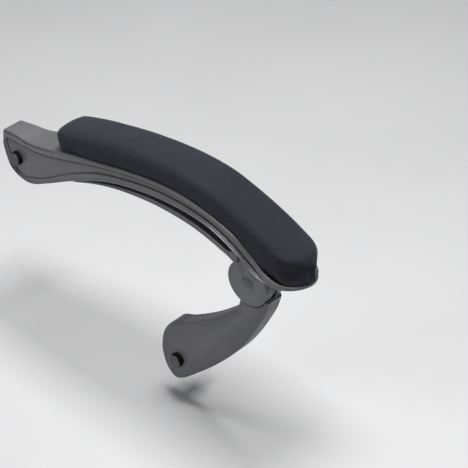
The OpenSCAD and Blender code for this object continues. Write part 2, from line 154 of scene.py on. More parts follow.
class Shape:
    """Collects grids and polygons of points in millimetres, measured out from the middle plane."""

    def __init__(self):
        self.points, self.faces = [], []

    def add(self, x, y, z):
        self.points.append((x, y, z))
        return len(self.points) - 1

    def grid(self, rows, loop=False):
        """rows is a list of equally long lists of indices; loop joins the last column to the first."""
        for a, b in zip(rows, rows[1:]):
            n = len(a)
            for k in range(n if loop else n - 1):
                self.faces.append((a[k], a[(k + 1) % n], b[(k + 1) % n], b[k]))

    def points_grid(self, rows, loop=False):
        made = [[self.add(*p) for p in row] for row in rows]
        self.grid(made, loop)
        return made

    def mirrored(self):
        n = len(self.points)
        self.points += [(x, -y, z) for x, y, z in self.points]
        self.faces += [tuple(i + n for i in reversed(f)) for f in self.faces]
        return self

    def mesh(self, name):
        me = bpy.data.meshes.new(name)
        bm = bmesh.new()
        verts = [bm.verts.new((x * MM, (y + MID_Y) * MM, z * MM)) for x, y, z in self.points]
        for f in self.faces:
            seen = [verts[i] for i in dict.fromkeys(f)]
            if len(seen) > 2:
                try:
                    bm.faces.new(seen)
                except ValueError:
                    pass
        bmesh.ops.remove_doubles(bm, verts=bm.verts, dist=POINT_WELD)
        bmesh.ops.dissolve_degenerate(bm, edges=bm.edges, dist=POINT_WELD)
        bmesh.ops.delete(bm, geom=[v for v in bm.verts if not v.link_faces], context="VERTS")
        bmesh.ops.recalc_face_normals(bm, faces=bm.faces)
        bm.to_mesh(me)
        bm.free()
        return me


def thing(name, mesh):
    ob = bpy.data.objects.new(name, mesh)
    bpy.context.scene.collection.objects.link(ob)
    return ob


def points_of(me):
    """The mesh's points as rows of x, y, z in metres."""
    return np.array([v.co for v in me.vertices], float)


def normals_of(me):
    return np.array([v.normal for v in me.vertices], float)


def move_to(me, co):
    me.vertices.foreach_set("co", co.astype(np.float32).ravel())
    me.update()


def solid(shape, name):
    return thing(name, shape.mesh(name))


def as_object(shape):
    return solid(shape, "tool") if isinstance(shape, Shape) else shape


def baked(ob):
    """Applies an object's modifiers to its mesh."""
    bpy.context.view_layer.update()
    made = bpy.data.meshes.new_from_object(ob.evaluated_get(bpy.context.evaluated_depsgraph_get()))
    old = ob.data
    ob.modifiers.clear()
    ob.data = made
    bpy.data.meshes.remove(old)
    return ob


def boolean(ob, others, operation="DIFFERENCE"):
    """Cuts or joins each of the others, which are used up. All may be a Shape or an object."""
    ob = as_object(ob)
    for other in others:
        other = as_object(other)
        m = ob.modifiers.new("cut", "BOOLEAN")
        m.operation, m.solver, m.object = operation, "EXACT", other
        baked(ob)
        bpy.data.objects.remove(other)
    return ob


def finish(ob, body, slot, nodes=(), angle=38):
    """Smooth shading with sharp folds kept, then its slot's material and its body; the model's nodes that
    it replaces are hidden.
    """
    me = ob.data
    bm = bmesh.new()
    bm.from_mesh(me)
    bmesh.ops.remove_doubles(bm, verts=bm.verts, dist=WELD)
    bmesh.ops.dissolve_degenerate(bm, edges=bm.edges, dist=WELD)
    bm.to_mesh(me)
    bm.free()
    me.polygons.foreach_set("use_smooth", [True] * len(me.polygons))
    me.set_sharp_from_angle(angle=math.radians(angle))
    m = ob.modifiers.new("normals", "WEIGHTED_NORMAL")
    m.keep_sharp = True
    m.weight = 60
    me.materials.clear()
    me.materials.append(LOOKS[slot])
    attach(ob, body)
    if nodes:
        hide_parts(*nodes)
    return ob


def circle(r, sides):
    """Points round a circle about the origin."""
    angles = (math.radians(360 * k / sides) for k in range(sides))
    return [(r * math.cos(a), r * math.sin(a)) for a in angles]


def turned(pivot, profile, sides=72):
    """A shape turned round the Y axis through a pivot. The profile is [(radius, y)]."""
    s = Shape()
    rows = []
    for r, y in profile:
        if r == 0:
            rows.append([s.add(pivot[0], y, pivot[1])] * sides)
        else:
            rows.append([s.add(pivot[0] + u, y, pivot[1] + v) for u, v in circle(r, sides)])
    s.grid(rows, loop=True)
    return s


def rounded(r_out, y_face, y_back, edge, steps=5):
    """Profile of a disc from its face's centre to its back's centre, with a rounded edge on the face."""
    sign = 1 if y_back > y_face else -1
    out = [(0, y_face)]
    for k in range(steps + 1):
        a = math.radians(90 * k / steps)
        out.append((r_out - edge + edge * math.sin(a), y_face + sign * edge * (1 - math.cos(a))))
    return out + [(r_out, y_back), (0, y_back)]


def drawn_in(outline, d):
    """A closed outline moved inwards by d, corner by corner."""
    p = np.asarray(outline, float)
    a, b = p - np.roll(p, 1, 0), np.roll(p, -1, 0) - p
    a /= np.linalg.norm(a, axis=1)[:, None]
    b /= np.linalg.norm(b, axis=1)[:, None]
    area = 0.5 * np.sum(p[:, 0] * np.roll(p[:, 1], -1) - np.roll(p[:, 0], -1) * p[:, 1])
    turn = 1 if area > 0 else -1
    na, nb = turn * np.stack([-a[:, 1], a[:, 0]], 1), turn * np.stack([-b[:, 1], b[:, 0]], 1)
    n = na + nb
    n /= np.linalg.norm(n, axis=1)[:, None]
    return p + n * (d / np.clip(np.sum(n * na, axis=1), 0.55, 1))[:, None]


def slab(outline, levels):
    """A closed solid from rings of one outline; levels is [(drawn in by, y)] from one face to the other."""
    s = Shape()
    rows = [[s.add(x, y, z) for x, z in drawn_in(outline, d)] for d, y in levels]
    s.grid(rows, loop=True)
    s.faces += [tuple(rows[0]), tuple(reversed(rows[-1]))]
    return s


# -------- materials

class Look:
    """A node material, built up by small calls."""

    def __init__(self, name):
        self.material = bpy.data.materials.new(name)
        self.material.use_nodes = True
        self.tree = self.material.node_tree
        self.tree.nodes.clear()
        self.out = self.tree.nodes.new("ShaderNodeOutputMaterial")
        self.bsdf = self.tree.nodes.new("ShaderNodeBsdfPrincipled")
        self.link(self.bsdf.outputs[0], self.out.inputs[0])
        self.coords = self.tree.nodes.new("ShaderNodeTexCoord").outputs["Object"]
        self.bumps = None

    def link(self, a, b):
        self.tree.links.new(a, b)

    def put(self, **values):
        for key, value in values.items():
            self.bsdf.inputs[key.replace("_", " ")].default_value = value

    def noise(self, scale, detail=3, rough=0.55, distortion=0.0, stretch=None, coords=None):
        n = self.tree.nodes.new("ShaderNodeTexNoise")
        n.inputs["Scale"].default_value = scale
        n.inputs["Detail"].default_value = detail
        n.inputs["Roughness"].default_value = rough
        n.inputs["Distortion"].default_value = distortion
        source = coords or self.coords
        if stretch:
            m = self.tree.nodes.new("ShaderNodeMapping")
            m.inputs["Scale"].default_value = stretch
            self.link(source, m.inputs["Vector"])
            source = m.outputs[0]
        self.link(source, n.inputs["Vector"])
        return n.outputs["Fac"]

    def spread(self, value, low, high, to_low=0.0, to_high=1.0):
        m = self.tree.nodes.new("ShaderNodeMapRange")
        for key, v in (("From Min", low), ("From Max", high), ("To Min", to_low), ("To Max", to_high)):
            m.inputs[key].default_value = v
        self.link(value, m.inputs["Value"])
        return m.outputs[0]

    def maths(self, operation, a, b=0.0):
        m = self.tree.nodes.new("ShaderNodeMath")
        m.operation = operation
        for k, v in enumerate((a, b)):
            if isinstance(v, (int, float)):
                m.inputs[k].default_value = v
            else:
                self.link(v, m.inputs[k])
        return m.outputs[0]

    def mix(self, factor, a, b):
        m = self.tree.nodes.new("ShaderNodeMix")
        m.data_type = "RGBA"
        self.link(factor, m.inputs[0])
        for socket, v in ((m.inputs[6], a), (m.inputs[7], b)):
            if isinstance(v, tuple):
                socket.default_value = (*v, 1)
            else:
                self.link(v, socket)
        return m.outputs[2]

    def colour(self, value):
        self.link(value, self.bsdf.inputs["Base Color"])

    def rough(self, value):
        self.link(value, self.bsdf.inputs["Roughness"])

    def bump(self, value, strength, distance):
        b = self.tree.nodes.new("ShaderNodeBump")
        b.inputs["Strength"].default_value = strength
        b.inputs["Distance"].default_value = distance
        self.link(value, b.inputs["Height"])
        if self.bumps:
            self.link(self.bumps, b.inputs["Normal"])
        self.bumps = b.outputs[0]
        self.link(self.bumps, self.bsdf.inputs["Normal"])

    def edges(self, low, high):
        g = self.tree.nodes.new("ShaderNodeNewGeometry")
        return self.spread(g.outputs["Pointiness"], low, high)


def times(colour, k):
    return tuple(c * k for c in colour)


def moulded(name, colour, rough=0.46, grain=0.35, wear_and_highlight=1.5):
    """Moulded plastic: fine eroded grain, slow drift of tone, drag marks, and paler edges that are partly
    rubbed wear and partly a painted highlight.
    """
    k = Look(name)
    drift = k.noise(11, 3)
    fine = k.noise(1500, 2, 0.6)
    drag = k.noise(55, 5, 0.6, 0.4, (1, 1, 5))
    body = k.mix(k.spread(drift, 0.3, 0.7), times(colour, 0.88), times(colour, 1.12))
    body = k.mix(k.spread(fine, 0.35, 0.75, 0, 0.35), body, times(colour, 1.45))
    # convex edges are lightened: partly rubbed wear, partly a painted highlight
    body = k.mix(k.edges(0.515, 0.575), body, times(colour, wear_and_highlight))
    k.colour(body)
    dull = k.spread(drag, 0.35, 0.7, rough - 0.05, rough + 0.07)
    k.rough(k.maths("SUBTRACT", dull, k.maths("MULTIPLY", k.edges(0.51, 0.56), rough * 0.45)))
    k.bump(k.noise(420, 3, 0.6), grain * 0.35, 0.00008)
    k.bump(fine, grain, 0.00004)
    return k.material


def smooth_plastic(name, colour, rough, rim):
    """Smooth moulded cap: flow marks and hairline scratches. Its side behind the rim is dull and painted
    near black, a painted shade of the gap round the cap.
    """
    k = Look(name)
    place = k.tree.nodes.new("ShaderNodeSeparateXYZ")
    k.link(k.coords, place.inputs[0])
    shaded_side = k.spread(place.outputs[1], *rim)
    flow = k.noise(70, 4, 0.5, 0.8)
    scratch = k.noise(400, 3, 0.7, 0.2, (1, 1, 14))
    body = k.mix(k.spread(flow, 0.35, 0.65), times(colour, 0.9), times(colour, 1.15))
    # the cap's side is painted near black: painted shade standing in for the shadow of the gap round the
    # cap
    body = k.mix(shaded_side, body, times(colour, 0.08))
    k.colour(body)
    gloss = k.spread(scratch, 0.3, 0.75, rough - 0.06, rough + 0.12)
    k.rough(k.maths("MAXIMUM", gloss, k.maths("MULTIPLY", shaded_side, 0.8)))
    k.link(k.spread(shaded_side, 0, 1, 0.5, 0.12), k.bsdf.inputs["Specular IOR Level"])
    k.bump(scratch, 0.12, 0.00003)
    return k.material


def cloth(name, colour):
    """Close woven cloth: threads over and under, flecks of paler yarn, and a soft nap."""
    k = Look(name)
    uv = k.tree.nodes.new("ShaderNodeUVMap")
    uv.uv_map = "cloth"
    split = k.tree.nodes.new("ShaderNodeSeparateXYZ")
    k.link(uv.outputs[0], split.inputs[0])
    pitch = 0.00095
    waver = k.spread(k.noise(260, 2), 0.3, 0.7, -0.35, 0.35)
    u = k.maths("ADD", k.maths("MULTIPLY", split.outputs[0], math.pi / pitch), waver)
    v = k.maths("ADD", k.maths("MULTIPLY", split.outputs[1], math.pi / pitch), waver)
    su, sv = k.maths("SINE", u), k.maths("SINE", v)
    over = k.spread(k.maths("MULTIPLY", k.maths("SINE", k.maths("MULTIPLY", u, 0.5)),
                            k.maths("SINE", k.maths("MULTIPLY", v, 0.5))), -0.2, 0.2)
    weft, warp = k.maths("ABSOLUTE", su), k.maths("ABSOLUTE", sv)
    thread = k.maths("ADD", k.maths("MULTIPLY", weft, over),
                     k.maths("MULTIPLY", warp, k.maths("SUBTRACT", 1.0, over)))
    fleck = k.spread(k.noise(900, 2, 0.6), 0.56, 0.74)
    blotch = k.noise(150, 4, 0.6)
    slow = k.noise(16, 2)
    body = k.mix(k.spread(slow, 0.3, 0.7), times(colour, 0.9), times(colour, 1.1))
    body = k.mix(k.spread(blotch, 0.35, 0.7, 0, 0.5), body, times(colour, 1.35))
    body = k.mix(k.spread(thread, 0.15, 0.9, 0.45, 0), body, times(colour, 0.45))
    body = k.mix(k.maths("MULTIPLY", fleck, 0.5), body, times(colour, 2.3))
    k.colour(body)
    k.rough(k.spread(blotch, 0.3, 0.7, 0.86, 0.97))
    k.put(Sheen_Weight=0.22, Sheen_Roughness=0.4, Specular_IOR_Level=0.12)
    k.bsdf.inputs["Sheen Tint"].default_value = (0.78, 0.82, 1.0, 1)
    k.bump(k.noise(45, 3, 0.5), 0.25, 0.0007)
    k.bump(thread, 0.5, 0.00022)
    k.bump(k.noise(2600, 2), 0.25, 0.00008)
    return k.material


def metal(name, colour, rough=0.3, scale=700, stretch=(1, 12, 1), stain=0.6):
    """Plated or blackened steel: drawn lines, stains in the plating and brighter rubbed edges."""
    k = Look(name)
    lines = k.noise(scale, 3, 0.6, 0, stretch)
    marks = k.noise(90, 4, 0.6, 0.5)
    body = k.mix(k.spread(marks, 0.35, 0.7), colour, times(colour, stain))
    body = k.mix(k.edges(0.52, 0.6), body, times(colour, 1.5))
    k.colour(body)
    k.rough(k.spread(lines, 0.3, 0.7, rough - 0.06, rough + 0.14))
    k.put(Metallic=1.0)
    k.bump(lines, 0.15, 0.00003)
    return k.material


def powder_coat(name, colour):
    """Powder-coated steel: orange-peel surface with fine pits."""
    k = Look(name)
    peel = k.noise(330, 2, 0.5)
    marks = k.noise(24, 4, 0.6)
    k.colour(k.mix(k.spread(marks, 0.35, 0.7), times(colour, 0.85), times(colour, 1.2)))
    k.rough(k.spread(peel, 0.3, 0.7, 0.36, 0.5))
    k.bump(peel, 0.35, 0.00012)
    return k.material


def foam_look(name, colour):
    k = Look(name)
    v = k.tree.nodes.new("ShaderNodeTexVoronoi")
    v.inputs["Scale"].default_value = 900
    k.link(k.coords, v.inputs["Vector"])
    cell = v.outputs["Distance"]
    k.colour(k.mix(k.spread(cell, 0, 0.6), times(colour, 0.6), colour))
    k.rough(k.spread(k.noise(60), 0.3, 0.7, 0.85, 1.0))
    k.bump(cell, 0.6, 0.0004)
    return k.material


def plywood(name, colour):
    k = Look(name)
    ply = k.noise(60, 4, 0.6, 0.3, (0.4, 3, 12))
    fibre = k.noise(500, 4, 0.7, 0, (0.1, 1, 1))
    body = k.mix(k.spread(ply, 0.35, 0.65), times(colour, 0.7), times(colour, 1.15))
    k.colour(k.mix(k.spread(fibre, 0.3, 0.7, 0, 0.5), body, times(colour, 0.55)))
    k.rough(k.spread(fibre, 0.3, 0.7, 0.6, 0.8))
    k.bump(fibre, 0.3, 0.0002)
    return k.material


def nylon_look(name, colour):
    k = Look(name)
    cloud = k.noise(200, 3)
    k.colour(k.mix(k.spread(cloud, 0.3, 0.7), times(colour, 0.9), colour))
    k.rough(k.spread(cloud, 0.3, 0.7, 0.4, 0.52))
    k.put(Subsurface_Weight=0.15, Subsurface_Scale=0.001)
    k.bump(k.noise(900, 2), 0.15, 0.00005)
    return k.material


LOOKS = {
    "shell_plastic": moulded("moulded_shell", (0.097, 0.097, 0.102), 0.36),
    # the link's plastic is set darker than the shell's as painted shade, for the shadow it lies in under
    # the arm
    "link_plastic": moulded("moulded_link", (0.088, 0.089, 0.100), 0.56),
    "knuckle_plastic": moulded("moulded_knuckle", (0.099, 0.101, 0.112), 0.48),
    # the last pair is the Y band, in metres, where the painted shade on the cap's side begins
    "cap_plastic": smooth_plastic("smooth_cap", (0.050, 0.050, 0.055), 0.32, (-0.0549, -0.0545)),
    "spacer_plastic": moulded("moulded_spacer", (0.040, 0.040, 0.042), 0.42, 0.2),
    "cloth": cloth("woven_cloth", (0.0190, 0.0190, 0.0260)),
    "foam": foam_look("cut_foam", (0.75, 0.70, 0.50)),
    "board": plywood("plywood", (0.40, 0.29, 0.17)),
    "painted_steel": powder_coat("powder_coat", (0.030, 0.030, 0.032)),
    "zinc_steel": metal("zinc_plate", (0.62, 0.62, 0.60), 0.3),
    "black_steel": metal("black_oxide", (0.10, 0.10, 0.105), 0.36, 600, (1, 6, 1), 0.7),
    "nylon": nylon_look("natural_nylon", (0.78, 0.78, 0.72)),
}
SLOT_OF = {s["node"]: s["material_slot"] for s in frame["record"]["subparts"]}
for node, ob in frame["nodes"].items():
    ob.data.materials.clear()
    ob.data.materials.append(LOOKS[SLOT_OF[node]])


# -------- upper shell

FAN_END = 60.0
NOSE_START = 404.0
NOSE_TIP = 436.0
FAN = np.linspace(0, 1, 34)
MAIN = np.arange(FAN_END + 3, NOSE_START, 3.2)
NOSE = NOSE_START + (NOSE_TIP - NOSE_START) * np.sin(np.radians(np.linspace(0, 90, 22)))
AHEAD = np.concatenate([MAIN, NOSE])


def station_line(curve, start):
    """Side outline points: spread over the rounded rear part, then at the common stations."""
    first = spread(cut(curve, start, FAN_END), FAN)
    rest = np.stack([AHEAD, np.interp(AHEAD, curve[:, 0], curve[:, 1])], axis=1)
    return np.vstack([first, rest])


# Cross-sections across the shell's side: (distance in millimetres, share of the depth).
EDGE_LINE = [(0.15, 0), (0.4, 0.35), (0.6, 1), (1.1, 1), (1.4, 0.5), (2.0, 0)]
LIP_LINE = [(0.5, 1), (0.75, 0.9), (0.9, 0.65), (1.05, 0.25), (1.2, 0.06), (1.6, 0)]
PANEL_GROOVE = [(-1.2, 0), (-0.9, 0.08), (-0.6, 0.4), (-0.3, 1.0), (0, 1.65), (0.55, 1.7), (0.95, 1.35),
                (1.5, 1.08), (2.2, 1)]
EDGE_LINE_DEPTH = 0.9
LIP_OUT = 1.3
CHANNEL_DEPTH = 3.0
GROOVE_ROOM = 6.0
PANEL_TIP = 391.0
LEAST_PANEL = 0.7


def shell_piece():
    """The upper shell: outlines seen from the side, raised over the body's width, then mirrored."""
    t_line = station_line(top_c, -19.5)
    l_line = station_line(rim_ahead, -17.5)
    pt_line = station_line(ptop_c, -17.3)
    pl_line = station_line(plow_c, -11.5)
    for i in range(len(t_line)):
        if t_line[i, 0] > PANEL_TIP:
            z = t_line[i, 1] + 0.72 * (l_line[i, 1] - t_line[i, 1])
            pt_line[i] = pl_line[i] = (t_line[i, 0], z)
        gap = pt_line[i, 1] - pl_line[i, 1]
        if i > 30 and gap < LEAST_PANEL:
            mid = 0.5 * (pt_line[i, 1] + pl_line[i, 1])
            pt_line[i, 1], pl_line[i, 1] = mid + LEAST_PANEL / 2, mid - LEAST_PANEL / 2
    count, across = len(t_line), 12
    rear_o = spread(smooth(REAR_END, 8), np.linspace(0, 1, across + 1))
    rear_p = spread(smooth(PANEL_REAR, 8), np.linspace(0, 1, across + 1))
    rear_o[0], rear_p[0] = t_line[0], pt_line[0]
    rear_o[-1], rear_p[-1] = l_line[0], pl_line[0]

    s = Shape()

    def depth_at(x):
        return PANEL_DEPTH * float(np.interp(x, [90, 150, 375, 398], [1, 1.6, 1.6, 0.1]))

    def side_column(o, p, edge, room, upper):
        """From the rounded outer edge across the raised band and the groove onto the recessed panel."""
        o, p = np.asarray(o, float), np.asarray(p, float)
        band = float(np.linalg.norm(p - o))
        way = (p - o) / max(band, 1e-6)
        edge = min(edge, 0.45 * band)
        step = min(1.0, 0.3 * band, room / GROOVE_ROOM)
        bulge = 0.0 if upper else -LIP_OUT * min(1.0, band / 5)
        out = []
        for k in range(6):
            a = math.radians(18 * k)
            q = o + way * edge * (1 - math.cos(a))
            out.append((q[0], half_width(q[0]) - bulge - edge * (1 - math.sin(a)), q[1]))
        line = EDGE_LINE_DEPTH * float(np.interp(o[0], [56, 84], [1, 0]))
        fit = min(1.0, (band - edge - step) / 2.6)
        for along, deep in (EDGE_LINE if upper else LIP_LINE):
            q = o + way * (edge + along * fit)
            out.append((q[0], half_width(q[0]) - (deep * line if upper else deep * bulge), q[1]))
        for along, deep in PANEL_GROOVE:
            q = p + way * step * along
            out.append((q[0], half_width(q[0]) - deep * depth_at(q[0]), q[1]))
        return [s.add(x, max(0.0, y), z) for x, y, z in out]

    rooms = np.linalg.norm(pt_line - pl_line, axis=1)
    top_edges = np.interp(t_line[:, 0], [90, 150, 370, 390, 415, 425], [2.0, 3.2, 3.2, 1.0, 1.0, 2.0])
    tops = [side_column(t_line[i], pt_line[i], top_edges[i], rooms[i], True) for i in range(count)]
    lows = [side_column(l_line[i], pl_line[i], 1.1, rooms[i], False) for i in range(count)]
    rears = [side_column(rear_o[j], rear_p[j], 2.0 - 0.9 * j / across, rooms[0], j < across / 2)
             for j in range(1, across)]
    rears = [tops[0]] + rears + [lows[0]]
    s.grid(tops)
    s.grid(rears)
    s.grid(lows)

    # The recessed panel between the two inner edges
    columns = [[r[-1] for r in rears]]
    for i in range(1, count):
        a, b = np.array(s.points[tops[i][-1]]), np.array(s.points[lows[i][-1]])
        inner = []
        for j in range(1, across):
            q = a + (b - a) * j / across
            inner.append(s.add(q[0], max(0.0, half_width(q[0]) - depth_at(q[0])), q[2]))
        columns.append([tops[i][-1]] + inner + [lows[i][-1]])
    s.grid(columns)

    # The top and the rear end, from the rounded edge to the middle
    def face_column(first):
        x, y, z = s.points[first]
        deep = CHANNEL_DEPTH * float(nose_gap(x))
        inner = max(0.0, y - 0.7)
        edge = [first, s.add(x, max(0.0, y - 0.25), z - 0.15 * deep), s.add(x, inner, z - deep)]
        return edge + [s.add(x, inner * k / 4, z - deep) for k in (3, 2, 1, 0)]

    top_faces = [face_column(c[0]) for c in tops]
    rear_faces = [top_faces[0]] + [face_column(c[0]) for c in rears[1:]]
    s.grid(top_faces)
    s.grid(rear_faces)

    # The lip, the inner wall and the roof's underside
    inner_rows = []
    fan_shift = np.concatenate([np.interp(FAN, [0, 1], [2.0, 0]), np.zeros(len(AHEAD))])
    for i in range(count):
        lx, lz = l_line[i]
        tx, tz = t_line[i]
        back = WALL * max(0.0, (tx - 400) / 36)
        roof = max(tz - WALL - 0.5, lz + 0.3)
        y_low, y_top = max(0.0, half_width(lx) - WALL), max(0.0, half_width(tx + fan_shift[i]) - WALL)
        low, high = np.array([lx - back, y_low, lz]), np.array([tx + fan_shift[i] - back, y_top, roof])
        row = [lows[i][0], s.add(low[0], min(y_low + 0.4, s.points[lows[i][0]][1]), low[2])]
        row.append(s.add(low[0], y_low, low[2] + min(0.4, 0.3 * (roof - lz))))
        row += [s.add(*(low + (high - low) * k)) for k in (0.35, 0.7, 1.0)]
        row += [s.add(high[0], y_top * k, high[2]) for k in (0.66, 0.33, 0.0)]
        inner_rows.append(row)
    s.grid(inner_rows)
    s.faces.append(tuple(rear_faces[-1]) + tuple(reversed(inner_rows[0][1:])))
    return solid(s.mirrored(), "arm_upper_shell_moulding")


shell = boolean(shell_piece(), [
    turned(BACKREST, [(0, -30), (11, -30), (9.8, -14.9), (9.1, -14.3), (8.75, -13.6), (8.75, -12.2),
                      (9.5, -11.9), (9.5, -4), (0, -4)]),
    turned(BACKREST, [(0, 30), (10, 30), (8.6, 14.4), (8.2, 13.6), (8.2, 4), (0, 4)]),
])
finish(shell, "upper_arm", "shell_plastic", ["arm_upper_shell"])

# -------- lower cover


def value_at(measure, x):
    """A measure at station x: what its function gives there, or a plain number everywhere."""
    return float(measure(x)) if callable(measure) else measure


def above(base, rise):
    """A height that runs this far above another one, or below it if rise is negative."""
    return lambda x: float(base(x)) + rise


def bar(xs, low, high, half, edge=0.3, ends=(0, 0), channel=0.0):
    """A long bar with rounded edges, between two heights and as far out as half on either side.
    ends is how far its two ends are rounded, channel is how deep its sides are hollowed."""
    s = Shape()
    rows = []
    for x in xs:
        shrink = 0.0
        for end, gone in ((ends[0], x - xs[0]), (ends[1], xs[-1] - x)):
            if gone < end:
                shrink = max(shrink, end - math.sqrt(max(0.0, end ** 2 - (end - gone) ** 2)))
        zl, zh, w = value_at(low, x) + shrink, value_at(high, x) - shrink, value_at(half, x) - shrink
        e = min(edge, 0.42 * (zh - zl))
        flat = zh - zl - 2 * e
        deep = channel * min(1.0, max(0.0, flat - 0.3))
        in_z = min(0.3, 0.2 * flat)
        ring = []
        for side, top, first in ((1, True, 90), (1, False, 0), (-1, False, -90), (-1, True, 180)):
            for k in range(5):
                a = math.radians(first - 22.5 * k)
                middle_z = zh - e if top else zl + e
                ring.append((x, side * (w - e) + e * math.cos(a), middle_z + e * math.sin(a)))
            if first in (90, -90):
                hollow = [(x, side * (w - deep), zh - e - in_z), (x, side * (w - deep), zl + e + in_z)]
                ring += hollow if top else hollow[::-1]
        rows.append(ring)
    made = s.points_grid(rows, loop=True)
    s.faces += [tuple(made[0]), tuple(reversed(made[-1]))]
    return s


def stations(x0, x1, step, end):
    """Stations along a bar: an even step, and closer together within its two rounded ends."""
    ends = end * (1 - np.cos(np.radians(np.linspace(0, 90, 5))))
    middle = np.arange(x0 + end + step, x1 - end, step)
    return np.unique(np.round(np.concatenate([x0 + ends, middle, x1 - ends]), 4))


STRIP_X = (104, 354)
STRIP_OUT = 0.9
SKIRT_X = (14, 148)
UNDER_RIM = 0.8
SCREEN_X = (146, 334)
SCREEN_OUT = 12.6
SCREEN_IN = 11.0
NECK_ROOM_X = (343.0, 362.0)
NECK_ROOM_HALF = 17.8


def strip_half(x):
    """The strip stands out past the shell's side, but not at its rear tip."""
    return half_width(x) + STRIP_OUT * min(1, (x - STRIP_X[0]) / 30)


def skirt_half(x):
    """The skirt fits inside the shell's walls."""
    return half_width(x) - WALL - 0.3


skirt_ahead = [(x, rim_z(x) + UNDER_RIM) for x in (SKIRT_X[0], *range(16, 130, 3), 130)]
skirt_low_z = height(np.array(skirt_ahead + [(SKIRT_X[1], 33)]))
strip = solid(bar(stations(*STRIP_X, 3.0, 0.9), strip_low_z, strip_top_z, strip_half, 0.7, (0, 0.9), 0.7),
              "arm_lower_cover_moulding")
skirt = bar(stations(*SKIRT_X, 3.0, 0.6), skirt_low_z, above(rim_z, 3.8), skirt_half, 0.4)
# Two upright walls on the strip close the view through the slot to the steel core
screen = bar(stations(*SCREEN_X, 4.0, 1.0), above(strip_top_z, -1.2), above(rim_z, 4.0), SCREEN_OUT)
between = bar(stations(SCREEN_X[0] + 2.5, SCREEN_X[1] + 2, 4.0, 1.0), above(strip_top_z, 0.1),
              above(rim_z, 6.0), SCREEN_IN)
boolean(strip, [skirt, boolean(screen, [between])], "UNION")
boolean(strip, [bar(NECK_ROOM_X, 15.0, 60.0, NECK_ROOM_HALF)])


def upright(x, z0, z1, r0, r1, sides=40):
    """A closed cone or cylinder standing along Z in the middle plane."""
    s = Shape()
    ring = [[s.add(x + u, v, z) for u, v in circle(r, sides)] for r, z in ((r0, z0), (r1, z1))]
    s.grid(ring, loop=True)
    s.faces += [tuple(ring[0]), tuple(reversed(ring[1]))]
    return s


def cover_low(x):
    """The height of the cover's underside, on its skirt or on its strip."""
    return float(rim_z(x) + UNDER_RIM) if x < SKIRT_X[1] else float(strip_low_z(x))


boolean(strip, [upright(x, cover_low(x) - 12, cover_low(x) + 0.9, 3.6, 3.6) for x in COVER_SCREWS])
finish(strip, "upper_arm", "shell_plastic", ["arm_lower_cover"])

# -------- screws


def screw_shape(head_r, head_t, shaft_r, shaft_l):
    """A pan-head screw along -Z with its head's underside at 0, in millimetres; its cross recess is cut
    later, in screws.
    """
    s = Shape()
    prof = [(0, head_t)]
    for k in range(1, 7):
        a = math.radians(15 * k)
        prof.append((head_r * math.sin(a) ** 0.8, head_t * (0.35 + 0.65 * math.cos(a) ** 0.9)))
    prof += [(head_r, 0.15), (head_r - 0.15, 0), (shaft_r, 0)]
    turns, pitch = int(shaft_l / 0.35), 1.2
    rows = []
    sides = 24
    for r, z in prof:
        rows.append([s.add(u, v, z) for u, v in circle(r, sides)])
    for n in range(1, turns + 1):
        z = -shaft_l * n / turns
        taper = min(1, (shaft_l + z) / 2 + 0.25)
        row = []
        for k in range(sides):
            a = 2 * math.pi * k / sides
            phase = (z / pitch - k / sides) % 1
            r = shaft_r * taper * (1 - 0.22 * abs(2 * phase - 1))
            row.append(s.add(r * math.cos(a), r * math.sin(a), z))
        rows.append(row)
    s.grid(rows, loop=True)
    s.faces.append(tuple(reversed(rows[-1])))
    return s


def cross_cutter(head_r, head_t):
    made = []
    for along in (0, 1):
        s = Shape()
        long, wide = head_r * 0.55, head_r * 0.13
        rows = []
        for z, k in ((head_t + 0.6, 1.15), (head_t - 0.55 * head_t, 0.55)):
            a, b = (long * k, wide * k) if along else (wide * k, long * k)
            rows.append([s.add(x, y, z) for x, y in ((a, b), (-a, b), (-a, -b), (a, -b))])
        s.grid(rows, loop=True)
        s.faces += [tuple(rows[0]), tuple(reversed(rows[1]))]
        made.append(s)
    return made


def screws(name, places, head_r, head_t, shaft_r, shaft_l, body, slot, nodes):
    """places is [(point in millimetres, direction that the head faces, turn in degrees)]."""
    ob = boolean(screw_shape(head_r, head_t, shaft_r, shaft_l), cross_cutter(head_r, head_t))
    co = points_of(ob.data)
    co[:, 1] -= MID_Y * MM
    whole = bmesh.new()
    for point, way, turn in places:
        one = ob.data.copy()
        way = Vector(way).normalized()
        side = way.orthogonal().normalized()
        up = way.cross(side)
        c, n = math.cos(math.radians(turn)), math.sin(math.radians(turn))
        a, b = side * c + up * n, up * c - side * n
        basis = np.array([a, b, way])
        placed = co @ basis + np.array([point[0], point[1] + MID_Y, point[2]]) * MM
        move_to(one, placed)
        whole.from_mesh(one)
        bpy.data.meshes.remove(one)
    bpy.data.objects.remove(ob)
    me = bpy.data.meshes.new(name)
    bmesh.ops.recalc_face_normals(whole, faces=whole.faces)
    whole.to_mesh(me)
    whole.free()
    return finish(thing(name, me), body, slot, nodes, 50)


screws("link_screw_set", [((x, 10.9, z), (0, 1, 0), 17 * k) for k, (x, z) in enumerate(LINK_SCREWS)],
       3.4, 2.2, 1.6, 20.5, "link", "black_steel", ["link_screws"])
screws("lower_cover_screw_set", [((x, 0, cover_low(x) + 0.8), (0, 0, -1), 25 * k + 8)
                                 for k, x in enumerate(COVER_SCREWS)],
       3.4, 2.0, 1.5, 16.0, "upper_arm", "black_steel", ["lower_cover_screws"])

# -------- knuckle

KNUCKLE_R = 27.7


